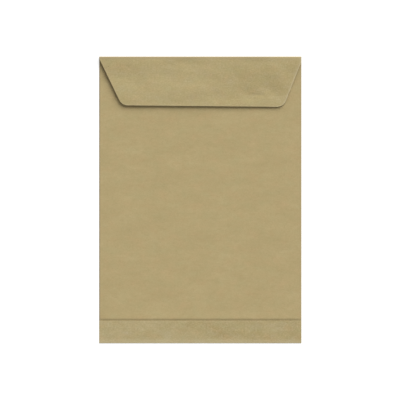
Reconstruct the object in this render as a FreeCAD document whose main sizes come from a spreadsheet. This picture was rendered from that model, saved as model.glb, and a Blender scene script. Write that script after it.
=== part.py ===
"""Self-seal kraft bag, empty, lying on its address side with its flap folded over.

The bag is one die-cut sheet of kraft paper. Its long edges fold up into a flat tube, and the back
panel is glued to a lap inside the left side fold. The front panel runs on past both ends of the
tube: at the bottom it turns up over the back panel and is glued there, and at the mouth it turns
over as the closing flap. That last fold isn't creased hard: it stands up and carries the flap clear
of the back panel, and the flap slopes down a little from it. The flap holds a self-seal band under
a peel-off strip.

Millimetres. The origin is on the table under the middle of the bag, with +X to the right, +Y
towards the mouth and +Z up. The driving sizes are in the spreadsheet called Sizes.
"""

import FreeCAD, Part
import math
import os
import Sketcher

SIZES = [
    ("bag_width", 240, "outside width, from side fold to side fold"),
    ("bag_length", 340, "outside length, from bottom fold to flap fold"),
    ("paper", 0.16, "thickness of the kraft paper"),
    ("glue_film", 0.05, "thickness of a dried glue line"),
    ("pocket_gap", 0.77, "air between the front panel and the lap, along the pocket"),
    ("pressed_gap", 0.2, "the same air where the bottom flap presses the tube flat"),
    ("press_ramp", 2.6, "length over which the pocket drops to its pressed height"),
    ("back_inset", 0.6, "from the left side of the bag to the cut edge of the back panel"),
    ("lap_width", 14, "from the left side of the bag to the free edge of the glue lap"),
    ("seam_glue_margin", 3, "from the left side of the bag to the glue line on the lap"),
    ("seam_glue_width", 8, "width of the glue line on the lap"),
    ("seam_glue_end", 6, "from each end of the tube to the glue line on the lap"),
    ("throat_clearance", 0.1, "from the cut edge of the back panel to the start of the mouth fold"),
    ("tube_clearance", 0.3, "from the end of the tube to the start of the bottom fold"),
    ("bottom_flap_height", 26.6, "from the bottom fold to the bottom flap's free edge"),
    ("bottom_glue_margin", 4, "bare border round the glue under the bottom flap"),
    ("flap_clearance", 4.7, "between the back panel and the flap where it leaves its fold"),
    ("mouth_bend", 1.2, "outside radius of the mouth fold, at its foot and at its top"),
    ("flap_depth", 58.7, "from the mouth fold to the flap's free edge, on the centre line"),
    ("flap_skew", 0.55, "degrees by which the free edge runs down to the right"),
    ("flap_inset", 0.5, "from each side of the bag to the side of the flap above its taper"),
    ("left_shoulder", 3, "from the mouth fold to the top of the left taper"),
    ("right_shoulder", 6.6, "from the mouth fold to the top of the right taper"),
    ("left_taper", 25.8, "degrees between the left taper and the length of the bag"),
    ("right_taper", 21.6, "degrees between the right taper and the length of the bag"),
    ("flap_corner", 11.5, "radius of the flap's two corners"),
    ("flap_drop", 1.25, "degrees by which the flap drops from its fold to its free edge"),
    ("seal_margin", 9, "from the flap's free edge to the self-seal band"),
    ("seal_width", 20, "width of the self-seal band, along the bag"),
    ("seal_end_margin", 10, "from each taper to the end of the self-seal band"),
    ("seal_film", 0.1, "thickness of the self-seal band"),
    ("strip_paper", 0.08, "thickness of the peel-off strip"),
    ("strip_border", 1.5, "how far the peel-off strip covers past the long sides of the band"),
    ("strip_tab", 4, "how far the peel-off strip runs past each end of the band"),
]

doc = FreeCAD.newDocument("KraftBag")
sizes = doc.addObject("Spreadsheet::Sheet", "Sizes")
for row, (alias, number, meaning) in enumerate(SIZES, start=1):
    sizes.set(f"A{row}", alias)
    sizes.set(f"B{row}", str(number))
    sizes.set(f"C{row}", meaning)
    sizes.setAlias(f"B{row}", alias)
doc.recompute()

# Places that several features share, as expressions of the sizes. First those seen from above.
HALF_WIDTH = "Sizes.bag_width / 2"
HALF_LENGTH = "Sizes.bag_length / 2"
CUT_EDGE = f"(Sizes.back_inset - {HALF_WIDTH})"
LAP_EDGE = f"(Sizes.lap_width - {HALF_WIDTH})"
BOTTOM_EDGE = f"(Sizes.bottom_flap_height - {HALF_LENGTH})"
RAMP_TOP = f"({BOTTOM_EDGE} + Sizes.press_ramp)"
THROAT = f"({HALF_LENGTH} - Sizes.mouth_bend - Sizes.throat_clearance)"

# Heights of the stack: front panel, air, lap, glue, back panel, then glue and bottom flap.
LAP_TOP = {
    "pressed": "(2 * Sizes.paper + Sizes.pressed_gap)",
    "pocket": "(2 * Sizes.paper + Sizes.pocket_gap)",
}
TUBE_TOP = {zone: f"({top} + Sizes.glue_film + Sizes.paper)" for zone, top in LAP_TOP.items()}
BOTTOM_FLAP_TOP = f"({TUBE_TOP['pressed']} + Sizes.glue_film + Sizes.paper)"
MOUTH_FOLD_TOP = f"({TUBE_TOP['pocket']} + Sizes.flap_clearance + Sizes.paper)"

# The bottom fold is a half round about the stack that it wraps. The mouth fold stands upright
# between two quarter bends. Centres are (Y, Z) in the side view.
BOTTOM_FOLD = f"({BOTTOM_FLAP_TOP} / 2)"
BOTTOM_FOLD_CENTRE = (f"({BOTTOM_FOLD} - {HALF_LENGTH})", BOTTOM_FOLD)
MOUTH_FOOT_CENTRE = (f"({HALF_LENGTH} - Sizes.mouth_bend)", "Sizes.mouth_bend")
MOUTH_TOP_CENTRE = (MOUTH_FOOT_CENTRE[0], f"({MOUTH_FOLD_TOP} - Sizes.mouth_bend)")
TUBE_END = f"({BOTTOM_FOLD_CENTRE[0]} + Sizes.tube_clearance)"

# The self-seal band: its lower edge, measured along the flap, and its two ends across the bag.
SEAL_LOW = "(Sizes.flap_depth - Sizes.seal_margin)"
SEAL_LEFT = (
    f"(Sizes.flap_inset + ({SEAL_LOW} - Sizes.left_shoulder) * tan(Sizes.left_taper * 1 deg)"
    f" + Sizes.seal_end_margin - {HALF_WIDTH})"
)
SEAL_RIGHT = (
    f"({HALF_WIDTH} - Sizes.seal_end_margin - Sizes.flap_inset"
    f" - ({SEAL_LOW} - Sizes.right_shoulder) * tan(Sizes.right_taper * 1 deg))"
)


def value(expression):
    """An expression's value as a plain number."""
    found = sizes.evalExpression(expression)
    return float(getattr(found, "Value", found))


def vector(point):
    """A pair of expressions as a vector in a sketch."""
    return FreeCAD.Vector(value(point[0]), value(point[1]), 0)


def on_flap(depth, below):
    """A point in the side view, by its depth from the mouth fold and below the flap's outside."""
    fall, run = "sin(Sizes.flap_drop * 1 deg)", "cos(Sizes.flap_drop * 1 deg)"
    along, out = f"({depth} - Sizes.mouth_bend)", f"(Sizes.mouth_bend - {below})"
    return (
        f"({MOUTH_TOP_CENTRE[0]} - {out} * {fall} - {along} * {run})",
        f"({MOUTH_TOP_CENTRE[1]} + {out} * {run} - {along} * {fall})",
    )


def new_body(label):
    """An empty body, labelled with the name of its sub-part."""
    body = doc.addObject("PartDesign::Body", label)
    body.Label = label
    return body


def new_sketch(body, name, role, offset="0"):
    """An empty sketch parallel to one of the body's planes, moved along the plane's normal."""
    sketch = body.newObject("Sketcher::SketchObject", name)
    plane = next(item for item in body.Origin.OriginFeatures if item.Role == role)
    sketch.AttachmentSupport = [(plane, "")]
    sketch.MapMode = "FlatFace"
    sketch.setExpression("AttachmentOffset.Base.z", offset)
    return sketch


def new_pad(body, name, sketch, length, **settings):
    """A pad whose length is an expression."""
    pad = body.newObject("PartDesign::Pad", name)
    pad.Profile = sketch
    pad.setExpression("Length", length)
    for setting, choice in settings.items():
        setattr(pad, setting, choice)
    return pad


def dimension(sketch, name, constraint, expression):
    """Add a dimension to a sketch and bind it to an expression."""
    index = sketch.addConstraint(constraint)
    sketch.renameConstraint(index, name)
    sketch.setExpression(f"Constraints.{name}", expression)


def pin(sketch, name, geometry, end, point, axes="xy"):
    """Dimension one end of a curve from the sketch's origin, along one axis or both."""
    for axis, kind, expression in zip("xy", ("DistanceX", "DistanceY"), point):
        if axis in axes:
            distance = Sketcher.Constraint(kind, -1, 1, geometry, end, value(expression))
            dimension(sketch, f"{name}_{axis}", distance, expression)


def line_to(point):
    """A step of a profile: a straight line to a point."""
    return {"end": point}


def fold_to(point, centre, turn):
    """A step of a profile: an arc about a centre to a point, turning left or right."""
    return {"end": point, "centre": centre, "turn": turn}


def draw_profile(sketch, start, steps):
    """Draw a closed outline: a first line from the start, the steps, and a last line back."""
    here, tail, first = start, None, sketch.GeometryCount
    for number, step in enumerate([*steps, line_to(start)]):
        begin, finish = vector(here), vector(step["end"])
        head, next_tail = 1, 2
        if "centre" in step:
            middle = vector(step["centre"])
            circle = Part.Circle(middle, FreeCAD.Vector(0, 0, 1), (begin - middle).Length)
            if step["turn"] == "right":
                begin, finish = finish, begin
                head, next_tail = 2, 1
            angles = [math.atan2(end.y - middle.y, end.x - middle.x) for end in (begin, finish)]
            index = sketch.addGeometry(Part.ArcOfCircle(circle, *angles))
        else:
            index = sketch.addGeometry(Part.LineSegment(begin, finish))

        if tail is None:
            pin(sketch, "start", index, head, start)
        else:
            sketch.addConstraint(Sketcher.Constraint("Coincident", *tail, index, head))
        tail = (index, next_tail)
        if "centre" in step:
            # The radius comes from the arc's start, so its end needs one axis: the one it crosses.
            reach = vector(step["end"]) - middle
            crossed = "x" if abs(reach.y) > abs(reach.x) else "y"
            pin(sketch, f"centre{number}", index, 3, step["centre"])
            pin(sketch, f"end{number}", *tail, step["end"], axes=crossed)
        elif number < len(steps):
            pin(sketch, f"end{number}", *tail, step["end"])
        here = step["end"]
    sketch.addConstraint(Sketcher.Constraint("Coincident", *tail, first, 1))


def rectangle(low, high):
    """The start and the steps of a rectangle between two opposite corners."""
    return low, [line_to((high[0], low[1])), line_to(high), line_to((low[0], high[1]))]


def tube_profile(zone):
    """The cross-section of the folded tube: a spiral from the cut edge in to the glue lap."""
    lap_top, tube_top = LAP_TOP[zone], TUBE_TOP[zone]
    left = (f"({lap_top} / 2 - {HALF_WIDTH})", f"({lap_top} / 2)")
    right = (f"({HALF_WIDTH} - {tube_top} / 2)", f"({tube_top} / 2)")
    lap_underside = f"({lap_top} - Sizes.paper)"
    back_underside = f"({tube_top} - Sizes.paper)"
    return (CUT_EDGE, tube_top), [
        line_to((CUT_EDGE, back_underside)),
        line_to((right[0], back_underside)),
        fold_to((right[0], "Sizes.paper"), right, "right"),
        line_to((left[0], "Sizes.paper")),
        fold_to((left[0], lap_underside), left, "right"),
        line_to((LAP_EDGE, lap_underside)),
        line_to((LAP_EDGE, lap_top)),
        line_to((left[0], lap_top)),
        fold_to((left[0], "0"), left, "left"),
        line_to((right[0], "0")),
        fold_to((right[0], tube_top), right, "left"),
    ]


def seam_glue_profile(zone):
    """The cross-section of the glue line between the lap and the back panel."""
    near = f"(Sizes.seam_glue_margin - {HALF_WIDTH})"
    far = f"({near} + Sizes.seam_glue_width)"
    return rectangle((near, LAP_TOP[zone]), (far, f"({LAP_TOP[zone]} + Sizes.glue_film)"))


def run_along_tube(body, profile, low_end, high_end):
    """Run a cross-section along the tube: pressed flat at the bottom, then up to the pocket."""
    pressed = new_sketch(body, f"{body.Label}_pressed", "XZ_Plane", f"-{BOTTOM_EDGE}")
    draw_profile(pressed, *profile("pressed"))
    pocket = new_sketch(body, f"{body.Label}_pocket", "XZ_Plane", f"-{RAMP_TOP}")
    draw_profile(pocket, *profile("pocket"))

    new_pad(body, f"{body.Label}_bottom", pressed, f"{BOTTOM_EDGE} - {low_end}")
    ramp = body.newObject("PartDesign::AdditiveLoft", f"{body.Label}_ramp")
    ramp.Profile = pressed
    ramp.Sections = [pocket]
    ramp.Ruled = True
    new_pad(body, f"{body.Label}_top", pocket, f"{high_end} - {RAMP_TOP}", Reversed=True)


def add_bottom_flap(body):
    """Carry the front panel round the bottom fold and up over the back panel."""
    centre = BOTTOM_FOLD_CENTRE
    underside = f"({BOTTOM_FLAP_TOP} - Sizes.paper)"
    side = new_sketch(body, "bottom_flap_side", "YZ_Plane")
    draw_profile(side, (TUBE_END, "0"), [
        line_to((TUBE_END, "Sizes.paper")),
        line_to((centre[0], "Sizes.paper")),
        fold_to((centre[0], underside), centre, "right"),
        line_to((BOTTOM_EDGE, underside)),
        line_to((BOTTOM_EDGE, BOTTOM_FLAP_TOP)),
        line_to((centre[0], BOTTOM_FLAP_TOP)),
        fold_to((centre[0], "0"), centre, "left"),
    ])
    new_pad(body, "bottom_flap", side, "Sizes.bag_width", Midplane=True)


def add_closing_flap(body):
    """Carry the front panel up the mouth fold and over it, then trim it to the flap's outline."""
    foot, top = MOUTH_FOOT_CENTRE, MOUTH_TOP_CENTRE
    inside = f"({HALF_LENGTH} - Sizes.paper)"
    # Before it is trimmed, the flap runs one corner radius past its lowest possible corner.
    deepest = f"(Sizes.flap_depth + {HALF_WIDTH} * tan(Sizes.flap_skew * 1 deg))"
    untrimmed_end = f"({deepest} + Sizes.flap_corner)"
    side = new_sketch(body, "closing_flap_side", "YZ_Plane")
    draw_profile(side, (THROAT, "Sizes.paper"), [
        line_to((THROAT, "0")),
        line_to((foot[0], "0")),
        fold_to((HALF_LENGTH, foot[1]), foot, "left"),
        line_to((HALF_LENGTH, top[1])),
        fold_to(on_flap("Sizes.mouth_bend", "0"), top, "left"),
        line_to(on_flap(untrimmed_end, "0")),
        line_to(on_flap(untrimmed_end, "Sizes.paper")),
        line_to(on_flap("Sizes.mouth_bend", "Sizes.paper")),
        fold_to((inside, top[1]), top, "right"),
        line_to((inside, foot[1])),
        fold_to((foot[0], "Sizes.paper"), foot, "right"),
    ])
    flap = new_pad(body, "closing_flap", side, "Sizes.bag_width", Midplane=True)

    between = f"{TUBE_TOP['pocket']} + Sizes.flap_clearance / 2"
    outline = new_sketch(body, "flap_outline", "XY_Plane", between)
    draw_flap_outline(outline)
    trim = body.newObject("PartDesign::Pocket", "flap_trim")
    trim.Profile = outline
    trim.Type = "ThroughAll"
    trim.Reversed = True
    doc.recompute()
    if trim.Shape.Volume >= flap.Shape.Volume:
        raise RuntimeError("the trim leaves the flap uncut")


def draw_flap_outline(sketch):
    """Draw what is trimmed off: a U, whose inner side is the outline of the flap."""
    left = (f"(Sizes.flap_inset - {HALF_WIDTH})", f"({HALF_LENGTH} - Sizes.left_shoulder)")
    right = (f"({HALF_WIDTH} - Sizes.flap_inset)", f"({HALF_LENGTH} - Sizes.right_shoulder)")
    free_edge_y = f"({HALF_LENGTH} - Sizes.flap_depth)"
    pinned = [
        right,
        (right[0], "Sizes.bag_length"),
        ("Sizes.bag_width", "Sizes.bag_length"),
        ("Sizes.bag_width", "0"),
        ("-Sizes.bag_width", "0"),
        ("-Sizes.bag_width", "Sizes.bag_length"),
        (left[0], "Sizes.bag_length"),
        left,
    ]
    # The flap's two corners start out near their places. The dimensions below set them.
    corners = [
        (f"{left[0]} + ({left[1]} - {free_edge_y}) * tan(Sizes.left_taper * 1 deg)", free_edge_y),
        (f"{right[0]} - ({right[1]} - {free_edge_y}) * tan(Sizes.right_taper * 1 deg)", free_edge_y),
    ]
    points = [vector(point) for point in pinned + corners]
    ring = list(zip(points, points[1:] + points[:1]))
    lines = [sketch.addGeometry(Part.LineSegment(start, end)) for start, end in ring]
    for line, following in zip(lines, lines[1:] + lines[:1]):
        sketch.addConstraint(Sketcher.Constraint("Coincident", line, 2, following, 1))
    for line, point in zip(lines, pinned):
        pin(sketch, f"corner{line}", line, 1, point)

    left_side, free_edge, right_side = lines[-3:]
    directions = [
        (left_side, "Sizes.left_taper - 90"),
        (free_edge, "-Sizes.flap_skew"),
        (right_side, "90 - Sizes.right_taper"),
    ]
    for line, degrees in directions:
        angle = Sketcher.Constraint("Angle", line, math.radians(value(degrees)))
        dimension(sketch, f"direction{line}", angle, f"({degrees}) * 1 deg")
    middle = sketch.addGeometry(Part.Point(vector(("0", free_edge_y))), True)
    pin(sketch, "depth", middle, 1, ("0", free_edge_y))
    sketch.addConstraint(Sketcher.Constraint("PointOnObject", middle, 1, free_edge))
    sketch.solve()
    for line in (left_side, free_edge):
        sketch.fillet(line, 2, value("Sizes.flap_corner"))
        arc = sketch.GeometryCount - 1
        radius = Sketcher.Constraint("Radius", arc, value("Sizes.flap_corner"))
        dimension(sketch, f"radius{line}", radius, "Sizes.flap_corner")


def lay_under_flap(body, depths, below, ends):
    """Lay a film inside the flap, between two depths, two levels and two ends across the bag."""
    side = new_sketch(body, f"{body.Label}_side", "YZ_Plane", ends[0])
    draw_profile(side, on_flap(depths[0], below[0]), [
        line_to(on_flap(depths[1], below[0])),
        line_to(on_flap(depths[1], below[1])),
        line_to(on_flap(depths[0], below[1])),
    ])
    new_pad(body, f"{body.Label}_film", side, f"{ends[1]} - {ends[0]}")


bag = new_body("kraft_bag")
run_along_tube(bag, tube_profile, TUBE_END, THROAT)
add_bottom_flap(bag)
add_closing_flap(bag)

side_seam_glue = new_body("side_seam_glue")
run_along_tube(
    side_seam_glue,
    seam_glue_profile,
    f"({TUBE_END} + Sizes.seam_glue_end)",
    f"({THROAT} - Sizes.seam_glue_end)",
)

bottom_flap_glue = new_body("bottom_flap_glue")
glued_area = new_sketch(bottom_flap_glue, "glued_area", "XY_Plane", TUBE_TOP["pressed"])
draw_profile(glued_area, *rectangle(
    (f"(Sizes.bottom_glue_margin - {HALF_WIDTH})", f"({TUBE_END} + Sizes.bottom_glue_margin)"),
    (f"({HALF_WIDTH} - Sizes.bottom_glue_margin)", f"({BOTTOM_EDGE} - Sizes.bottom_glue_margin)"),
))
new_pad(bottom_flap_glue, "bottom_glue_film", glued_area, "Sizes.glue_film")

seal_underside = "(Sizes.paper + Sizes.seal_film)"
lay_under_flap(
    new_body("seal_adhesive"),
    depths=(f"({SEAL_LOW} - Sizes.seal_width)", SEAL_LOW),
    below=("Sizes.paper", seal_underside),
    ends=(SEAL_LEFT, SEAL_RIGHT),
)
lay_under_flap(
    new_body("release_strip"),
    depths=(
        f"({SEAL_LOW} - Sizes.seal_width - Sizes.strip_border)",
        f"({SEAL_LOW} + Sizes.strip_border)",
    ),
    below=(seal_underside, f"({seal_underside} + Sizes.strip_paper)"),
    ends=(f"({SEAL_LEFT} - Sizes.strip_tab)", f"({SEAL_RIGHT} + Sizes.strip_tab)"),
)

doc.recompute()
for item in doc.Objects:
    if "Invalid" in item.State or "Error" in item.State:
        raise RuntimeError(f"{item.Label} did not recompute: {item.State}")
bodies = [item for item in doc.Objects if item.isDerivedFrom("PartDesign::Body")]
for body in bodies:
    if body.Shape.isNull() or not body.Shape.isValid() or len(body.Shape.Solids) != 1:
        raise RuntimeError(f"{body.Label} is not one valid solid")

os.makedirs("parts", exist_ok=True)
for body in bodies:
    body.Shape.exportStep(f"parts/{body.Label}.step")
    print(f"{body.Label}: {body.Shape.Volume:.1f} mm3")
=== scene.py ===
import math

import bpy
import numpy as np
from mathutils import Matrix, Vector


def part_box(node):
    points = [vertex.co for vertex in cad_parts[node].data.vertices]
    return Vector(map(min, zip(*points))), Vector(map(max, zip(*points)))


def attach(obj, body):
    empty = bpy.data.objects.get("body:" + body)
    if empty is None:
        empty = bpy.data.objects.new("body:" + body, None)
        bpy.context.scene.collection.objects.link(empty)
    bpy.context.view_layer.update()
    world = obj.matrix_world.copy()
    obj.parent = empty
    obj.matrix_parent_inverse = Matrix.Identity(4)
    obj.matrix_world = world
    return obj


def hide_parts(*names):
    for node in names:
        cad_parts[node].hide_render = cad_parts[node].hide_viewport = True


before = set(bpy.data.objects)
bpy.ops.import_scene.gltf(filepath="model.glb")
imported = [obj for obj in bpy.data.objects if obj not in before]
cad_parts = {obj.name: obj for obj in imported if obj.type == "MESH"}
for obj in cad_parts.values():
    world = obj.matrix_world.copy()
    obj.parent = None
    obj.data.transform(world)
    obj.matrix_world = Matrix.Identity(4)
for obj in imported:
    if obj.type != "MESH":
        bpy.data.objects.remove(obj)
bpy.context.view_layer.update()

scene = bpy.context.scene
scene.view_settings.view_transform = "Standard"
mm = 0.001  # lengths are in millimetres here, and are multiplied by this where Blender takes them


# What the solids give

def boxMm(node):
    low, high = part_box(node)
    return np.array(low) / mm, np.array(high) / mm


bagLow, bagHigh = boxMm("kraft_bag")
seamLow, seamHigh = boxMm("side_seam_glue")
baseGlueLow, baseGlueHigh = boxMm("bottom_flap_glue")
bandLow, bandHigh = boxMm("seal_adhesive")
stripLow, stripHigh = boxMm("release_strip")
halfWidth, halfLength = bagHigh[0], bagHigh[1]
width = 2 * halfWidth
glueFilm = baseGlueHigh[2] - baseGlueLow[2]
paper = baseGlueLow[2] - seamLow[2] - glueFilm
mid = paper / 2  # from either face of the paper to its middle

# heights of the back panel and of the lap inside it, pressed by the bottom flap and above it
pressedTop, pressedLapTop = baseGlueLow[2], seamLow[2]
pocketTop, pocketLapTop = seamHigh[2] + paper, seamHigh[2] - glueFilm
bottomTop = baseGlueHigh[2] + paper
print("frame read: bag", (bagHigh - bagLow).round(2), "mm, paper", round(paper, 3), "mm")


# Helpers

def linear(hexColour):
    # sRGB hex to linear red, green, blue and alpha
    parts = [int(hexColour[i:i + 2], 16) / 255 for i in (1, 3, 5)]
    return [c / 12.92 if c <= 0.04045 else ((c + 0.055) / 1.055) ** 2.4 for c in parts] + [1.0]


def addNode(tree, kind, inputs=None, **settings):
    # one node with its settings and links. An input takes a value, a node or an output socket, and
    # is named or numbered: a colour Mix has its share at 0, its colours at 6 and 7, its result at 2
    node = tree.nodes.new("ShaderNode" + kind)
    for name, value in settings.items():
        setattr(node, name, value)
    for name, value in (inputs or {}).items():
        if isinstance(value, bpy.types.Node):
            value = value.outputs[0]
        if isinstance(value, bpy.types.NodeSocket):
            tree.links.new(value, node.inputs[name])
        else:
            node.inputs[name].default_value = value
    return node


def newMaterial(name):
    material = bpy.data.materials.new(name)
    material.use_nodes = True
    material.node_tree.nodes.clear()
    return material, material.node_tree


def finishSurface(tree, surface, height, strength):
    # what every paper and film ends in: a bump whose height is in millimetres, shader and output
    bump = addNode(tree, "Bump", {"Strength": strength, "Distance": mm, "Height": height})
    shader = addNode(tree, "BsdfPrincipled", {**surface, "Normal": bump})
    addNode(tree, "OutputMaterial", {"Surface": shader})


def ease(low, high, x):
    # 0 up to low, 1 from high on, an S curve between
    t = np.clip((x - low) / (high - low), 0, 1)
    return t * t * (3 - 2 * t)


def swell(x, y, seed, shortest, longest, stretch, count=24):
    # a sum of sine waves with random lengths, headings and phases, about -1 to 1. The longer waves
    # are the higher ones, and a stretch above 1 draws them all out across the bag
    rng = np.random.default_rng(seed)
    lengths = shortest * (longest / shortest) ** rng.random(count)
    headings = rng.uniform(0, 2 * np.pi, count)
    phases = rng.uniform(0, 2 * np.pi, count)
    weights = (lengths / longest) ** 0.8
    total = 0
    for length, heading, phase, weight in zip(lengths, headings, phases, weights):
        across = x * math.cos(heading) / stretch + y * math.sin(heading)
        total = total + weight * np.sin(2 * np.pi * across / length + phase)
    usualPeak = 1.6 * np.sqrt((weights ** 2).sum())
    return total / usualPeak


def swells(x, y, layers):
    # layers of swell, each times its height
    return sum(height * swell(x, y, *layer) for height, *layer in layers)


def bulge(x, y, place, size, turn, height):
    # a long soft swelling, or a hollow if height is negative: a Gaussian with its long axis
    # turned by so many degrees from +X
    c, s = math.cos(math.radians(turn)), math.sin(math.radians(turn))
    along = ((x - place[0]) * c + (y - place[1]) * s) / size[0]
    across = ((y - place[1]) * c - (x - place[0]) * s) / size[1]
    return height * np.exp(-along ** 2 - across ** 2)


def steps(low, high, spacing):
    # evenly spaced values that include both ends
    return np.linspace(low, high, max(2, round(abs(high - low) / spacing) + 1))


def makeMesh(name, points, faces, uv=None, marks=None):
    # a smooth mesh, with each point's place on the flat blank as its UV map, and its marks
    mesh = bpy.data.meshes.new(name)
    mesh.from_pydata((points * mm).tolist(), [], faces.tolist())
    if uv is not None:
        corners = np.empty(len(mesh.loops), np.int32)
        mesh.loops.foreach_get("vertex_index", corners)
        mesh.uv_layers.new(name="blank").data.foreach_set("uv", (uv[corners] * mm).ravel())
    for title, values in (marks or {}).items():
        mesh.attributes.new(title, "FLOAT", "POINT").data.foreach_set("value", values)
    mesh.shade_smooth()
    mesh.update()
    piece = bpy.data.objects.new(name, mesh)
    scene.collection.objects.link(piece)
    return piece


def makeThick(piece, thickness):
    # half of the thickness to each side of the mesh
    wall = piece.modifiers.new("thickness", "SOLIDIFY")
    wall.thickness = thickness * mm
    wall.offset = 0
    wall.use_even_offset = True


def gridFaces(used):
    # the cells of a grid whose four corners are all in use, as rows of vertex numbers
    number = np.cumsum(used.ravel()).reshape(used.shape) - 1
    whole = used[:-1, :-1] & used[1:, :-1] & used[1:, 1:] & used[:-1, 1:]
    r, c = np.nonzero(whole)
    return np.stack([number[r, c], number[r + 1, c], number[r + 1, c + 1], number[r, c + 1]], -1)


# The folded sheet: lengths as in the solids, its mesh, then the relief that handling left in it

sheet = {
    "lapWidth": 14.0,          # glue lap, from the left side
    "backInset": 0.6,          # back panel's cut edge, from the left side
    "throatClearance": 0.1,    # back panel's top edge to the start of the mouth fold
    "tubeClearance": 0.3,      # end of the tube to the start of the bottom fold
    "bottomFlap": 26.6,        # bottom fold to free edge
    "pressRamp": 2.6,          # the back panel's drop just above the bottom flap
    "flapClearance": 4.7,      # flap above the back panel where it leaves its fold
    "mouthBend": 1.2,          # outside radius of the mouth fold, at its foot and top
    "flapDepth": 58.7,         # mouth fold to free edge, on the centre line
    "flapSkew": 0.55,          # degrees, free edge down to the right
    "flapDrop": 1.25,          # degrees, fall from the fold to the free edge
    "inset": 0.5,              # side of the flap from the side of the bag, above its taper
    "shoulders": (3.0, 6.6),   # mouth fold to the top of the left and the right taper
    "tapers": (25.8, 21.6),    # degrees from the bag's length, left and right
    "corner": 11.5,            # radius of the flap's corners

    "cell": 2.4,               # mesh spacing on the panels
    "cellsFrom": 4.0,          # where that spacing starts, in from a cut edge
    "rimCells": (0, 0.12, 0.5, 1.1, 2.0),  # mesh lines at a cut edge
    "rampCell": 0.4,           # mesh spacing over the drop
    "foldGap": 0.4,            # a side fold's end to the front panel's first mesh line
    "backCells": (3.0, 2.0),   # where the back panel's even mesh starts, from the right side, and ends,
                               # from its cut edge
    "notch": 0.02,             # height over which the sheet steps in at the mouth fold
    "bendSteps": 10,           # mesh steps round a half turn
    "taperSteps": 54,          # mesh lines down the flap
    "arcSteps": 12,            # mesh steps round each of its corners

    # swells: height, seed, shortest, longest and stretch
    "backSwells": [(0.15, 3, 18, 80, 1.9), (0.0525, 4, 7, 18, 1.7)],
    "frontSwells": [(0.05, 21, 20, 70, 1.0)],
    "bottomSwells": [(0.075, 8, 5, 26, 1.3)],
    "flapSwells": [(0.30, 242, 14, 60, 1.5), (0.06, 504, 5, 14, 1.0)],
    "frontLift": 0.05,         # how far the middle of the front panel's swells stands off the table
    "flapSettle": 0.15,        # how far the flap's swells lie under its straight line
    # where swells start and where they are full, in from each edge
    "backStill": {"seam": (16, 30), "side": (0, 12), "bottom": (2, 14), "mouth": (0, 10)},
    "frontStill": (0, 12),
    "bottomStill": (0, 8),
    "flapStill": (0, 8),
    "edgeFade": (9.0, 0.4),    # towards the flap's free edge: over this length, to this share
    "bottomSides": (0.4, 1.5), # the bottom flap's share of its swells, left and right
    "bottomTurn": (-20, 60),   # where one passes into the other
    "puckerReach": (-2, 12),   # past that flap's edge, where the back panel shares its swells less and less
    "rampCurve": (-0.2, 0.5),  # where the drop's soft curve starts, from its foot, and ends, from its top
    "rampSwell": (0.34, 6.0),  # height and half length of the swelling that the drop ends in
    "rampStill": (0, 7),       # at the sides
    "flapSag": 1.0,            # how much lower the flap's right side hangs than its left
    "sagReach": 30.0,          # depth at which it hangs that low
    "flapBulges": [            # place, half lengths, turn in degrees, height
        ((-8, 129), (34, 9.0), 2, 0.85),
        ((-46, 136), (22, 9.0), 0, 0.40),
        ((19, 125), (7, 10.0), 0, -0.40),
        ((57, 125), (14, 8.0), -30, -1.05),
        ((86, 128), (14, 7.0), -30, -0.60),
        ((92, 147), (15, 8.0), -28, 0.80),
        ((90, 158), (10, 5.0), -10, 0.35),
        ((68, 124.2), (11, 2.0), -4, -0.37),
        ((43, 146), (7, 4.0), -20, -0.35),
        ((60, 149), (12, 6.0), 0, 0.35),
        ((18, 151), (9, 4.0), 0, 0.25),
        ((-28, 160), (26, 5.0), 0, -0.25),
    ],
}
mouthTop = pocketTop + sheet["flapClearance"] + paper
drop = math.radians(sheet["flapDrop"])
skew = math.radians(sheet["flapSkew"])
bottomEdge = sheet["bottomFlap"] - halfLength
bottomY = bottomTop / 2 - halfLength
mouthY = halfLength - sheet["mouthBend"]
tubeEnd, throat = bottomY + sheet["tubeClearance"], mouthY - sheet["throatClearance"]
rimCells = np.array(sheet["rimCells"])
evenCells = steps(sheet["cellsFrom"], width - sheet["cellsFrom"], sheet["cell"])
# columns of the front panel and both end flaps, 0 to 1 across
share = np.concatenate([rimCells, evenCells, width - rimCells[::-1]]) / width


def backRelief(x, y):
    # the back panel's swells; it lies still at the seam, the right side and both ends
    height = swells(x, y, sheet["backSwells"])
    inside = {"seam": x + halfWidth, "side": halfWidth - x,
              "bottom": y - bottomEdge, "mouth": throat - y}
    for edge, distance in inside.items():
        height = height * ease(*sheet["backStill"][edge], distance)
    return height


def frontRelief(x, y):
    # the front panel's swells, never below the table; it lies still at all four edges
    height = np.maximum(0, sheet["frontLift"] + swells(x, y, sheet["frontSwells"]))
    for distance in (y - bottomEdge, throat - y, halfWidth - np.abs(x)):
        height = height * ease(*sheet["frontStill"], distance)
    return height


def bottomRelief(x, y):
    # puckers of the glued flap, stronger on its right side and pressed out at the fold
    left, right = sheet["bottomSides"]
    side = left + (right - left) * ease(*sheet["bottomTurn"], x)
    return side * swells(x, y, sheet["bottomSwells"]) * ease(*sheet["bottomStill"], y + halfLength)


def flapRelief(x, depth):
    # swells and dents of the closing flap, never above its fold, with its right side hanging
    # lower; they fade towards the fold and, by more than half, towards the free edge
    y = halfLength - depth
    height = swells(x, y, sheet["flapSwells"]) - sheet["flapSettle"]
    for place, size, turn, tall in sheet["flapBulges"]:
        height = height + bulge(x, y, place, size, turn, tall)
    reach, least = sheet["edgeFade"]
    fade = least + (1 - least) * ease(0, reach, sheet["flapDepth"] - depth)
    fade = fade * ease(*sheet["flapStill"], depth)
    sag = sheet["flapSag"] * (0.5 + 0.5 * x / halfWidth) * ease(0, sheet["sagReach"], depth)
    return np.minimum(height * fade - sag, (depth - sheet["mouthBend"]) * math.sin(drop))


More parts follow.
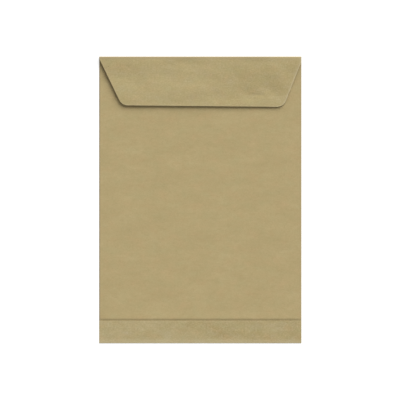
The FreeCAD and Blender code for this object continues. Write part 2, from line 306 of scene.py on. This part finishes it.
def onFlap(x, depth, below=0.0):
    # a straight flap that leaves its fold at the drop angle, with its relief; below is measured
    # from the paper's middle
    out = sheet["mouthBend"] - mid - below + flapRelief(x, depth)
    along = depth - sheet["mouthBend"]
    y = mouthY - out * math.sin(drop) - along * math.cos(drop)
    z = mouthTop - sheet["mouthBend"] + out * math.cos(drop) - along * math.sin(drop)
    return np.stack(np.broadcast_arrays(x, y, z), -1)


def flapCorner(side, shoulder, taper):
    # where a taper meets the free edge in (x, depth), rounded by an arc that touches both
    slope = math.radians(taper)
    x = side * (halfWidth - sheet["inset"] + (shoulder - sheet["flapDepth"]) * math.tan(slope))
    x = x / (1 + side * math.tan(slope) * math.tan(skew))
    sharp = np.array([x, sheet["flapDepth"] + x * math.tan(skew)])
    upTaper = np.array([side * math.sin(slope), -math.cos(slope)])
    alongEdge = -side * np.array([math.cos(skew), math.sin(skew)])
    half = math.acos(upTaper @ alongEdge) / 2
    inward = (upTaper + alongEdge) / np.linalg.norm(upTaper + alongEdge)
    reach = sheet["corner"] / math.tan(half)
    centre = sharp + inward * sheet["corner"] / math.sin(half)
    return sharp + upTaper * reach, sharp + alongEdge * reach, centre


def flapSides():
    # both sides of the flap's outline row by row in (x, depth): root, taper, then the corner's arc
    bend = sheet["mouthBend"]
    sides = list(zip((-1, 1), sheet["shoulders"], sheet["tapers"]))
    corners = [flapCorner(*side) for side in sides]
    tops = [(top - bend) / (start[1] - bend) for (_, top, _), (start, _, _) in zip(sides, corners)]
    t = np.sort(np.append(np.linspace(0, 1, sheet["taperSteps"]), tops))
    rows = []
    for (side, shoulder, taper), (start, end, centre) in zip(sides, corners):
        depth = bend + (start[1] - bend) * t
        narrower = np.maximum(0, depth - shoulder) * math.tan(math.radians(taper))
        x = side * (halfWidth - sheet["inset"] - narrower)
        first, last = (math.atan2(*(point - centre)[::-1]) for point in (start, end))
        angle = np.linspace(first, last, sheet["arcSteps"] + 1)[1:]
        arc = centre + sheet["corner"] * np.stack([np.cos(angle), np.sin(angle)], -1)
        rows.append(np.concatenate([np.stack([x, depth], -1), arc]))
    return rows


def tubeRows():
    # a spiral in each row: glue lap, left fold, front panel, right fold, back panel. Each fold is
    # a half round as deep as the stack inside it, and the back panel drops under the bottom flap
    ramp, fine = sheet["pressRamp"], sheet["rampCell"]
    y = np.concatenate([
        steps(tubeEnd, bottomEdge - 3 * fine, sheet["cell"]),
        steps(bottomEdge - fine, bottomEdge + ramp + fine, fine),
        steps(bottomEdge + ramp + 4 * fine, throat, sheet["cell"]),
    ])[:, None]
    early, late = sheet["rampCurve"]
    rise = ease(early, ramp + late, y - bottomEdge)
    tubeTop = pressedTop + (pocketTop - pressedTop) * rise
    lapTop = pressedLapTop + (pocketLapTop - pressedLapTop) * rise
    leftR, rightR = lapTop / 2, tubeTop / 2
    turn = np.linspace(-math.pi / 2, math.pi / 2, sheet["bendSteps"] + 1)

    lapCells = np.linspace(1, 0.2, 5)  # from the lap's free edge, 1, towards the fold, 0
    lapX = leftR - halfWidth + (sheet["lapWidth"] - leftR) * lapCells
    lapZ = lapTop - mid + 0 * lapX
    leftX = leftR - halfWidth - (leftR - mid) * np.cos(turn[::-1])
    leftZ = leftR + (leftR - mid) * np.sin(turn[::-1])
    frontLeft, frontRight = leftR - halfWidth + sheet["foldGap"], halfWidth - rightR - sheet["foldGap"]
    frontX = frontLeft * (1 - share) + frontRight * share
    frontZ = mid + frontRelief(frontX, y)
    rightX = halfWidth - rightR + (rightR - mid) * np.cos(turn)
    rightZ = rightR + (rightR - mid) * np.sin(turn)

    cutEdge = sheet["backInset"] - halfWidth
    start, end = sheet["backCells"]
    backCells = steps(halfWidth - start, cutEdge + end, sheet["cell"])
    backX = np.concatenate([backCells, cutEdge + rimCells[1::-1]])  # ends in the two outermost lines
    under, above = sheet["puckerReach"]
    puckered = bottomRelief(backX, y) * ease(above, under, y - bottomEdge)
    tall, reach = sheet["rampSwell"]
    swollen = tall * rise * np.exp(-((y - bottomEdge - ramp) / reach) ** 2)
    swollen = swollen * ease(*sheet["rampStill"], halfWidth - np.abs(backX))
    backZ = tubeTop - mid + backRelief(backX, y) + swollen + puckered
    backX = backX + 0 * y

    x = np.concatenate([lapX, leftX, frontX, rightX, backX], 1)
    z = np.concatenate([lapZ, leftZ, frontZ, rightZ, backZ], 1)
    points = np.stack([x, y + 0 * x, z], -1)
    before = lapX.shape[1] + leftX.shape[1]  # columns left of the front panel
    length = np.cumsum(np.linalg.norm(np.diff(points, axis=1), axis=2), 1)
    u = np.concatenate([0 * y, length], 1)
    u = u - u[:, before:before + 1] - halfWidth
    return points, np.stack([u, y + 0 * u], -1), before


farAway = 99.0  # from a cut edge, where its paler rim no longer shows


def bottomRows():
    # the glued bottom flap from its free edge down, then a half turn under to the front panel
    evenRows = steps(bottomEdge - sheet["cellsFrom"], bottomY, sheet["cell"])
    y = np.concatenate([bottomEdge - rimCells, evenRows])
    turn = np.linspace(math.pi / 2, -math.pi / 2, sheet["bendSteps"] + 1)[1:]
    r = bottomTop / 2 - mid
    x = (2 * share - 1) * halfWidth
    flat = np.stack(np.broadcast_arrays(x, y[:, None], 0.0), -1).copy()
    flat[..., 2] = bottomTop - mid + bottomRelief(flat[..., 0], flat[..., 1])
    arcY, arcZ = bottomY - r * np.cos(turn), bottomTop / 2 + r * np.sin(turn)
    arc = np.stack(np.broadcast_arrays(x, arcY[:, None], arcZ[:, None]), -1)
    v = np.concatenate([2 * bottomY - y - r * math.pi, bottomY - r * (turn + math.pi / 2)])
    uv = np.stack(np.broadcast_arrays(x, v[:, None]), -1)
    gap = np.concatenate([bottomEdge - y, np.full(len(turn), farAway)])
    return np.concatenate([flat, arc]), uv, np.broadcast_to(gap[:, None], uv.shape[:2])


def mouthRows():
    # the mouth fold, up between two quarter bends, then the closing flap. The sheet is cut in at
    # both sides from half way up the fold
    bend, r = sheet["mouthBend"], sheet["mouthBend"] - mid
    cut = pocketTop + sheet["flapClearance"] / 2
    quarter = np.linspace(0, math.pi / 2, sheet["bendSteps"] // 2 + 1)
    topTurn = quarter[:-1] * (1 + drop / (math.pi / 2))
    riserY = np.full(2, halfLength - mid)
    riserZ = np.array([cut, cut + sheet["notch"]])
    foldY = np.concatenate([mouthY + r * np.sin(quarter), riserY, mouthY + r * np.cos(topTurn)])
    foldZ = np.concatenate([bend - r * np.cos(quarter), riserZ, mouthTop - bend + r * np.sin(topTurn)])
    path = np.cumsum(np.hypot(np.diff(foldY, prepend=mouthY), np.diff(foldZ, prepend=mid)))
    half = halfWidth - sheet["inset"] * (foldZ > cut + sheet["notch"] / 2)
    x = half[:, None] * (2 * share - 1)
    fold = np.stack(np.broadcast_arrays(x, foldY[:, None], foldZ[:, None]), -1)

    left, right = flapSides()
    flat = left[:, None] * (1 - share[:, None]) + right[:, None] * share[:, None]
    x, depth = flat[..., 0], flat[..., 1]
    points = np.concatenate([fold, onFlap(x, depth)])
    foldV = mouthY + path[:, None] + 0 * x[:1]
    flapV = mouthY + path[-1] + r * topTurn[1] + depth - bend
    uv = np.stack([points[..., 0], np.concatenate([foldV, flapV])], -1)
    sideGap = np.minimum(share, 1 - share) * (right[:, :1] - left[:, :1])
    endGap = sheet["flapDepth"] + x * math.tan(skew) - depth
    gap = np.concatenate([np.full(fold.shape[:2], farAway), np.minimum(sideGap, endGap)])
    return points, uv, gap


# Where pressing and handling toned the paper, with painted shade on the folds and a painted highlight
# on the flap's right edge, as shares for its material: above 0 paler, below 0 darker, or cooler on the
# bottom flap

paperTonesAndPaintedLight = {
    "rimReach": 0.9,           # how far the paler rim, worn and on the flap's right side a painted highlight, reaches in from a cut edge, to a third
    "bottomRim": 0.14,         # wear of the bottom flap's free edge
    "flapRimWearAndPaintedHighlight": (0.16, 1.0),    # the closing flap's edge, left and right: a little wear at the left, a painted highlight towards the right
    "rimTurn": (70, 105),      # where one passes into the other
    "flapPale": 0.8,           # the closing flap
    "lessPale": 0.2,           # how much less it is right of the middle, away from its fold
    "lessAcross": (0, 60),     # across the bag and along it, where that starts and is full
    "lessAlong": (168, 154),
    "stillPale": ((82, 119), (30, 9), 0, 1),       # a spot without it
    "lessCorner": ((-96, 158), (34, 11), 0, 0.2),  # less pale at the top left corner too
    "mouthLine": (4.6, 1.4),   # painted shade on the mouth fold: where it starts and is full, from the fold
    "mouthLess": [(0.15, -20, 10), (0.55, 70, 100)],  # its steps down towards the right
    "bottomCool": (0.5, 0.28), # the bottom flap, left and right
    "coolTurn": (-50, 20),     # where one passes into the other
    "coolPatches": [(0.21, 12, 7, 32, 1.3)],
    "foldPale": (0.15, 1.0),   # the bottom flap, and its fold
    "foldReach": (7, 0),       # from the fold, where one passes into the other
    "sideLine": 0.8,           # painted shade along each side fold
    "sideReach": (2, 0.6),     # where it starts and is full, from the side
    "raised": (1, 5),          # where fibres raised by handling start and are full, from the mouth fold
}


def flapRimWearAndPaintedHighlight(x):
    # how pale the flap's cut edge is: a little wear at the left side, and a painted highlight that grows
    # towards the right, lit side
    left, right = paperTonesAndPaintedLight["flapRimWearAndPaintedHighlight"]
    return left + (right - left) * ease(*paperTonesAndPaintedLight["rimTurn"], x)


def flapTone(x, y):
    # the closing flap is paler than the tube, less so right of the middle and at its top left corner
    darker = ease(*paperTonesAndPaintedLight["lessAcross"], x) * ease(*paperTonesAndPaintedLight["lessAlong"], y)
    darker = darker * (1 - bulge(x, y, *paperTonesAndPaintedLight["stillPale"]))
    return paperTonesAndPaintedLight["flapPale"] - paperTonesAndPaintedLight["lessPale"] * darker - bulge(x, y, *paperTonesAndPaintedLight["lessCorner"])


def mouthPaintedShade(x, y):
    # painted shade along the mouth fold, darker towards its left end
    pressed = 1 - sum(less * ease(start, full, x) for less, start, full in paperTonesAndPaintedLight["mouthLess"])
    return -pressed * ease(*paperTonesAndPaintedLight["mouthLine"], halfLength - y)


def bottomTone(x, y):
    # the bottom flap is paler and cooler, more so at its left, in soft patches
    left, right = paperTonesAndPaintedLight["bottomCool"]
    return (left - right) * ease(*paperTonesAndPaintedLight["coolTurn"], x) - left + swells(x, y, paperTonesAndPaintedLight["coolPatches"])


def bottomFoldTone(y):
    # paler on the whole bottom flap and most of all at its fold
    flap, fold = paperTonesAndPaintedLight["foldPale"]
    return flap + (fold - flap) * ease(*paperTonesAndPaintedLight["foldReach"], y + halfLength)


def sideFoldPaintedShade(x):
    # painted shade along both side folds
    return -paperTonesAndPaintedLight["sideLine"] * ease(*paperTonesAndPaintedLight["sideReach"], halfWidth - np.abs(x))


def foldedSheet():
    # one grid over the whole blank: every row of the tube, and at both ends the rows of a flap,
    # which use only the front panel's columns
    tube, tubeUv, before = tubeRows()
    lower, lowerUv, lowerGap = bottomRows()
    upper, upperUv, upperGap = mouthRows()
    total, columns = len(lower) + len(tube) + len(upper), tube.shape[1]
    tubePart = slice(len(lower), len(lower) + len(tube))
    front = slice(before, before + len(share))
    lowPart, upPart = (slice(0, tubePart.start), front), (slice(tubePart.stop, total), front)
    points, uv = np.zeros((total, columns, 3)), np.zeros((total, columns, 2))
    used = np.zeros((total, columns), bool)
    parts = [(lowPart, lower, lowerUv), (tubePart, tube, tubeUv), (upPart, upper, upperUv)]
    for part, place, flat in parts:
        points[part], uv[part], used[part] = place, flat, True

    # marks for the material: nearness to a cut edge, the folds with their painted shade, toned paper and
    # raised fibres
    cutEdge, foldPaleAndPaintedShade, toned, handled = (np.zeros((total, columns)) for _ in range(4))
    cutEdge[lowPart] = paperTonesAndPaintedLight["bottomRim"] * np.exp(-lowerGap / paperTonesAndPaintedLight["rimReach"])
    # the closing flap's rim: a little wear, and towards its right side a painted highlight
    cutEdge[upPart] = flapRimWearAndPaintedHighlight(upper[..., 0]) * np.exp(-upperGap / paperTonesAndPaintedLight["rimReach"])
    # the bottom fold paler; painted shade along the side folds and the mouth fold
    foldPaleAndPaintedShade[lowPart] = bottomFoldTone(lower[..., 1])
    foldPaleAndPaintedShade[tubePart] = sideFoldPaintedShade(tube[..., 0])
    foldPaleAndPaintedShade[upPart] = mouthPaintedShade(upper[..., 0], upper[..., 1])
    toned[lowPart] = bottomTone(lower[..., 0], lower[..., 1])
    toned[upPart] = flapTone(upper[..., 0], upper[..., 1])
    handled[lowPart] = 1
    handled[upPart] = ease(*paperTonesAndPaintedLight["raised"], halfLength - upper[..., 1])
    marks = {"cutEdge": cutEdge, "foldPaleAndPaintedShade": foldPaleAndPaintedShade, "toned": toned, "handled": handled}
    marks = {title: values[used] for title, values in marks.items()}

    piece = makeMesh("foldedSheet", points[used], gridFaces(used), uv[used], marks)
    makeThick(piece, paper)
    print("folded sheet:", used.sum(), "points, blank", np.ptp(uv[used], axis=0).round(1), "mm")
    return piece


# Kraft paper

kraft = {
    "tone": "#b7a57a",   # the sheet's own colour
    "patterns": {        # breadth in mm, detail, stretch across and along the bag, start in its noise
        "cloud": (20.0, 3.0, (1.9, 0.9), 0),       # formation: thick and thin places
        "hue": (13.0, 3.0, (1.3, 1.0), 310),       # redder and greener fibre
        "warmth": (11.0, 4.0, (1.3, 1.0), 520),    # bluer and yellower fibre
        "floc": (5.0, 4.0, (1.5, 0.9), 70),        # clumps of fibre
        "grain": (1.7, 2.0, (1.2, 0.9), 20),       # fibre ends, coarse enough to show
        "fibreA": (5.0, 3.0, (1.0, 1.2), 140),
        "fibreB": (5.0, 3.0, (1.7, 0.8), 260),
        "fibreC": (5.0, 3.0, (0.8, 1.6), 400),
    },
    "layers": [          # pattern, where it starts and is full, share, more by handling, colour
        ("cloud", 0.50, 0.34, 0.28, 0.28, "#ab9a6f"),
        ("cloud", 0.54, 0.70, 0.45, 0.45, "#bfae83"),
        ("hue", 0.48, 0.30, 0.40, 1.10, "#b0a67b"),
        ("hue", 0.52, 0.70, 0.40, 1.10, "#bea379"),
        ("warmth", 0.52, 0.30, 0.00, 0.85, "#b3a586"),
        ("warmth", 0.54, 0.70, 0.00, 0.45, "#bba66e"),
        ("floc", 0.30, 0.70, 0.20, 0.46, "#a2915f"),
        ("grain", 0.70, 0.30, 0.22, 0.56, "#8f7d4a"),
    ],
    "fibre": "#8a784d",
    "fibreShare": 0.22,
    "fibreLine": 0.006,          # a fibre's half breadth, as a difference in its noise
    "fibreFlocs": (0.42, 0.6),   # flocs in which fibres start to show and show in full
    "shive": "#5d4a30",          # bark specks under half a millimetre, at most one in 15 mm
    "shiveGap": 15.0,
    "shiveEdge": (0.010, 0.020), # soft edge, as a share of that gap
    "shiveShare": 0.8,
    "shiveChance": (0.55, 0.9),  # random number from which a cell has one, and a dark one
    "fleck": (-108.5, 186.7),    # one larger speck, near the flap's left shoulder, on the blank
    "fleckEdge": (0.34, 0.7),    # its radii, inside and outside its soft edge
    "fleckShare": 0.85,
    "handlingAndPaintedLight": [                # mark, its full value, share, colour
        ("toned", 1, 0.46, "#c8b98e"),      # pale closing flap
        ("toned", -1, 0.46, "#c6ba96"),     # cooler bottom flap
        ("cutEdge", 1, 0.85, "#cbbe9b"),    # worn cut edges, with a painted highlight on the closing flap's right edge
        ("foldPaleAndPaintedShade", 1, 0.45, "#cbbe9b"),   # paler bottom flap, palest at its fold
        ("foldPaleAndPaintedShade", -1, 0.64, "#a59370"),  # painted shade along the mouth and side folds
    ],
    "relief": {"grain": 0.03, "floc": 0.05, "fibre": 0.02},  # heights
    "roughness": (0.78, 0.9),
}


def kraftPatterns(tree, place):
    # a noise for each pattern, drawn out across or along the bag, each from a place of its own
    noises = {}
    for name, (size, detail, (wide, high), start) in kraft["patterns"].items():
        spot = addNode(tree, "Mapping", {
            "Vector": place, "Location": (start, start * 0.7, start * 0.3),
            "Scale": (1 / (size * wide), 1 / (size * high), 1 / size)})
        noises[name] = addNode(tree, "TexNoise", {
            "Vector": spot, "Scale": 1, "Detail": detail, "Roughness": 0.6})
    return noises


def kraftFibres(tree, noises):
    # thin lines where a noise crosses its middle, broken up by the flocs
    fibres = 0.0
    for name in ("fibreA", "fibreB", "fibreC"):
        off = addNode(tree, "Math", {0: noises[name], 1: 0.5}, operation="SUBTRACT")
        off = addNode(tree, "Math", {0: off}, operation="ABSOLUTE")
        line = addNode(tree, "MapRange", {
            "Value": off, "From Max": kraft["fibreLine"], "To Min": 1, "To Max": 0})
        fibres = addNode(tree, "Math", {0: line, 1: fibres}, operation="ADD", use_clamp=True)
    start, full = kraft["fibreFlocs"]
    patchy = addNode(tree, "MapRange", {"Value": noises["floc"], "From Min": start, "From Max": full})
    return addNode(tree, "Math", {0: fibres, 1: patchy}, operation="MULTIPLY")


def kraftSpecks(tree, place):
    # shives: round specks in some of the cells of a Voronoi pattern, and the one larger fleck
    cells = addNode(tree, "TexVoronoi", {"Vector": place, "Scale": 1 / kraft["shiveGap"]})
    inner, outer = kraft["shiveEdge"]
    speck = addNode(tree, "MapRange", {
        "Value": cells, "From Min": inner, "From Max": outer, "To Min": kraft["shiveShare"], "To Max": 0})
    chance = addNode(tree, "SeparateColor", {0: cells.outputs["Color"]})
    start, full = kraft["shiveChance"]
    chosen = addNode(tree, "MapRange", {"Value": chance, "From Min": start, "From Max": full})
    speck = addNode(tree, "Math", {0: speck, 1: chosen}, operation="MULTIPLY")
    away = addNode(tree, "VectorMath", {0: place, 1: (*kraft["fleck"], 0)}, operation="DISTANCE")
    inner, outer = kraft["fleckEdge"]
    fleck = addNode(tree, "MapRange", {
        "Value": away.outputs["Value"], "From Min": inner, "From Max": outer,
        "To Min": kraft["fleckShare"], "To Max": 0})
    return speck, fleck


def kraftPaper():
    # unbleached machine-glazed kraft, about 110 g a square metre, pressed between rollers: cloudy
    # formation drawn out a little across the bag, fine brown fibres and a few dark specks
    material, tree = newMaterial("unbleachedMachineGlazedKraft")
    blank = addNode(tree, "UVMap", uv_map="blank")
    place = addNode(tree, "VectorMath", {0: blank, "Scale": 1 / mm}, operation="SCALE")
    noises = kraftPatterns(tree, place)
    fibres = kraftFibres(tree, noises)

    # the patterns' layers; handling raised the fibres of both end flaps, where they show more
    layers = []
    handled = addNode(tree, "Attribute", attribute_name="handled").outputs["Fac"]
    for name, start, full, strongest, more, tone in kraft["layers"]:
        here = addNode(tree, "Math", {0: handled, 1: more, 2: strongest}, operation="MULTIPLY_ADD")
        amount = addNode(tree, "MapRange", {
            "Value": noises[name], "From Min": start, "From Max": full, "To Max": here})
        layers.append((amount, tone))
    faint = addNode(tree, "Math", {0: fibres, 1: kraft["fibreShare"]}, operation="MULTIPLY")
    layers.append((faint, kraft["fibre"]))
    layers += [(speck, kraft["shive"]) for speck in kraftSpecks(tree, place)]

    # what pressing and handling did to it, with painted shade on the folds and a painted highlight on the
    # flap's right edge
    for mark, full, strongest, tone in kraft["handlingAndPaintedLight"]:
        here = addNode(tree, "Attribute", attribute_name=mark).outputs["Fac"]
        amount = addNode(tree, "MapRange", {"Value": here, "From Max": full, "To Max": strongest})
        layers.append((amount, tone))

    colour = linear(kraft["tone"])
    for amount, tone in layers:
        mix = addNode(tree, "Mix", {0: amount, 6: colour, 7: linear(tone)}, data_type="RGBA")
        colour = mix.outputs[2]

    height = 0.0
    for source, tall in ((noises["grain"], "grain"), (noises["floc"], "floc"), (fibres, "fibre")):
        height = addNode(tree, "Math", {0: source, 1: kraft["relief"][tall], 2: height},
                         operation="MULTIPLY_ADD")
    smooth, rough = kraft["roughness"]
    roughness = addNode(tree, "MapRange", {
        "Value": noises["grain"], "From Min": 0.3, "From Max": 0.7, "To Min": smooth, "To Max": rough})
    surface = {"Base Color": colour, "Roughness": roughness, "IOR": 1.45, "Specular IOR Level": 0.3}
    finishSurface(tree, surface, height, strength=0.5)
    return material


bag = foldedSheet()
bag.data.materials.append(kraftPaper())
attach(bag, "root")
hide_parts("kraft_bag")


# The self-seal band and its peel-off strip, laid on the inside of the flap

closure = {
    "bandFilm": 0.10,      # thickness of the adhesive
    "stripPaper": 0.08,    # thickness of the strip
    "cell": 2.4,           # mesh spacing
    "bandColour": ("#d9cfae", "#c9bd96"),
    "bandPatch": 20 / 3,   # breadth of its patches
    "roller": 1.4,         # spacing of the applicator's fine lines
    "stripColour": ("#e6e4da", "#d8d5c6"),
    "stripMottle": 20 / 7, # breadth of its mottles
    "relief": 0.02,        # height of the lines and of the mottles
}


def underFlap(name, low, high, below, thickness):
    # a rectangle across the bag that follows the flap at a constant distance below it
    across = steps(low[0], high[0], closure["cell"])
    down = halfLength - steps(low[1], high[1], closure["cell"])
    x, depth = np.meshgrid(across, down)
    points = onFlap(x, depth, below).reshape(-1, 3)
    uv = np.stack([x, halfLength - depth], -1).reshape(-1, 2)
    piece = makeMesh(name, points, gridFaces(np.ones(x.shape, bool)), uv)
    makeThick(piece, thickness)
    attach(piece, "root")
    print(name + ":", (high - low)[:2].round(1), "mm")
    return piece


def latexBand():
    # natural latex contact adhesive, rolled on and dried: cream, satin, with fine roller lines
    material, tree = newMaterial("rolledLatexAdhesive")
    blank = addNode(tree, "UVMap", uv_map="blank")
    place = addNode(tree, "VectorMath", {0: blank, "Scale": 1 / mm}, operation="SCALE")
    wave = math.pi / 10 / closure["roller"]  # a Wave texture turns 20 radians in one unit
    lines = addNode(tree, "TexWave", {
        "Vector": place, "Scale": wave, "Distortion": 1.5, "Detail": 2}, bands_direction="Y")
    patches = addNode(tree, "TexNoise", {"Vector": place, "Scale": 1 / closure["bandPatch"], "Detail": 3})
    pale, deep = (linear(tone) for tone in closure["bandColour"])
    mix = addNode(tree, "Mix", {0: patches, 6: pale, 7: deep}, data_type="RGBA")
    height = addNode(tree, "Math", {0: lines, 1: closure["relief"]}, operation="MULTIPLY")
    surface = {"Base Color": mix.outputs[2], "Roughness": 0.35, "IOR": 1.52}
    finishSurface(tree, surface, height, strength=0.6)
    return material


def glassineStrip():
    # white glassine with a silicone coat, calendered: smooth and satin with faint mottling
    material, tree = newMaterial("siliconisedGlassine")
    blank = addNode(tree, "UVMap", uv_map="blank")
    place = addNode(tree, "VectorMath", {0: blank, "Scale": 1 / mm}, operation="SCALE")
    mottle = addNode(tree, "TexNoise", {"Vector": place, "Scale": 1 / closure["stripMottle"], "Detail": 4})
    pale, deep = (linear(tone) for tone in closure["stripColour"])
    mix = addNode(tree, "Mix", {0: mottle, 6: pale, 7: deep}, data_type="RGBA")
    height = addNode(tree, "Math", {0: mottle, 1: closure["relief"]}, operation="MULTIPLY")
    surface = {"Base Color": mix.outputs[2], "Roughness": 0.38, "IOR": 1.43}
    finishSurface(tree, surface, height, strength=0.4)
    return material


band = underFlap("sealBand", bandLow, bandHigh, mid + closure["bandFilm"] / 2, closure["bandFilm"])
band.data.materials.append(latexBand())
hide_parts("seal_adhesive")
stripBelow = mid + closure["bandFilm"] + closure["stripPaper"] / 2
strip = underFlap("releaseStrip", stripLow, stripHigh, stripBelow, closure["stripPaper"])
strip.data.materials.append(glassineStrip())
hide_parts("release_strip")


# The two glue lines keep their solids

glue = {
    "colour": ("#c9b98c", "#a8935f"),
    "patch": 4.0,              # breadth of the patches
    "relief": 0.03,            # height of the patches
    "roughness": (0.35, 0.6),
}


def starchGlue():
    # starch paste, spread wet and dried between two papers: an amber film, satin and uneven
    material, tree = newMaterial("driedStarchPaste")
    solid = addNode(tree, "TexCoord").outputs["Object"]
    place = addNode(tree, "VectorMath", {0: solid, "Scale": 1 / mm}, operation="SCALE")
    patches = addNode(tree, "TexNoise", {"Vector": place, "Scale": 1 / glue["patch"], "Detail": 4})
    pale, deep = (linear(tone) for tone in glue["colour"])
    mix = addNode(tree, "Mix", {0: patches, 6: pale, 7: deep}, data_type="RGBA")
    smooth, rough = glue["roughness"]
    roughness = addNode(tree, "MapRange", {"Value": patches, "To Min": smooth, "To Max": rough})
    height = addNode(tree, "Math", {0: patches, 1: glue["relief"]}, operation="MULTIPLY")
    surface = {"Base Color": mix.outputs[2], "Roughness": roughness, "IOR": 1.5}
    finishSurface(tree, surface, height, strength=0.5)
    return material


glueMaterial = starchGlue()
for node in ("side_seam_glue", "bottom_flap_glue"):
    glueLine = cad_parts[node]
    glueLine.data.materials.clear()
    glueLine.data.materials.append(glueMaterial)
print("glue lines dressed")


# Stage, light and camera

light = {
    "key": 0.62,            # share of the light on a level surface that comes from the key
    "sky": 0.37,            # share that comes from all round
    "height": 36.0,         # degrees above the table
    "from": 62.0,           # degrees from +X towards +Y
    "width": 48.0,          # degrees across, for soft shadows
    "board": "#c8c8c8",     # the floor's own colour
    "boardGlow": 0.62,      # what the camera sees added to it, so that it looks white
    "boardDrop": 0.05,      # floor below the bag
    "boardReach": 3000.0,   # from its middle to each edge
}


def seenDirectly(tree):
    # 1 for what the camera sees directly, by reflection or through something clear, 0 for what only
    # lights the object
    path = addNode(tree, "LightPath")
    seen = path.outputs["Is Camera Ray"]
    for ray in ("Is Glossy Ray", "Is Transmission Ray"):
        seen = addNode(tree, "Math", {0: seen, 1: path.outputs[ray]}, operation="MAXIMUM")
    return seen


def addFloor():
    # a board just below the bag: it takes the bag's shadow, and the camera sees it as white
    corners = np.array([[-1, -1], [1, -1], [1, 1], [-1, 1]]) * light["boardReach"]
    points = np.column_stack([corners, np.full(4, -light["boardDrop"])])
    floor = makeMesh("floor", points, np.array([[0, 1, 2, 3]]))
    material, tree = newMaterial("mattWhiteBoard")
    board = addNode(tree, "BsdfDiffuse", {"Color": linear(light["board"])})
    glow = addNode(tree, "Emission", {"Strength": light["boardGlow"]})
    both = addNode(tree, "AddShader", {0: board, 1: glow})
    pick = addNode(tree, "MixShader", {0: seenDirectly(tree), 1: board, 2: both})
    addNode(tree, "OutputMaterial", {"Surface": pick})
    floor.data.materials.append(material)


def addSky():
    # even light from all round, and white behind
    scene.world = bpy.data.worlds.new("paleStudio")
    scene.world.use_nodes = True
    tree = scene.world.node_tree
    tree.nodes.clear()
    strength = addNode(tree, "MapRange", {"Value": seenDirectly(tree), "To Min": light["sky"], "To Max": 1})
    sky = addNode(tree, "Background", {"Color": linear("#ffffff"), "Strength": strength})
    addNode(tree, "OutputWorld", {"Surface": sky})


def addKey():
    # one sun, whose strength gives its share of the light on a level surface at its height
    lamp = bpy.data.lights.new("softKey", "SUN")
    lamp.energy = light["key"] * math.pi / math.sin(math.radians(light["height"]))
    lamp.angle = math.radians(light["width"])
    key = bpy.data.objects.new("softKey", lamp)
    key.rotation_euler = (math.radians(90 - light["height"]), 0, math.radians(90 + light["from"]))
    scene.collection.objects.link(key)


addFloor()
addSky()
addKey()

view = {
    "lens": 200.0,
    "sensor": 36.0,
    "share": 0.5057,   # of the picture's width that the bag takes
    "aside": -0.38,    # the camera's place from the bag's middle, along X
    "farthest": 100,   # how far it sees, in metres
}


def addCamera():
    # straight above the bag, as far off as its share of the picture's width asks, and square to it
    data = bpy.data.cameras.new("camera")
    data.lens, data.sensor_width = view["lens"], view["sensor"]
    data.clip_end = view["farthest"]
    distance = width / view["share"] * view["lens"] / view["sensor"]
    eye = bpy.data.objects.new("camera", data)
    eye.location = (view["aside"] * mm, 0, (distance + pocketTop) * mm)
    scene.collection.objects.link(eye)
    scene.camera = eye


addCamera()
print("stage, light and camera set")
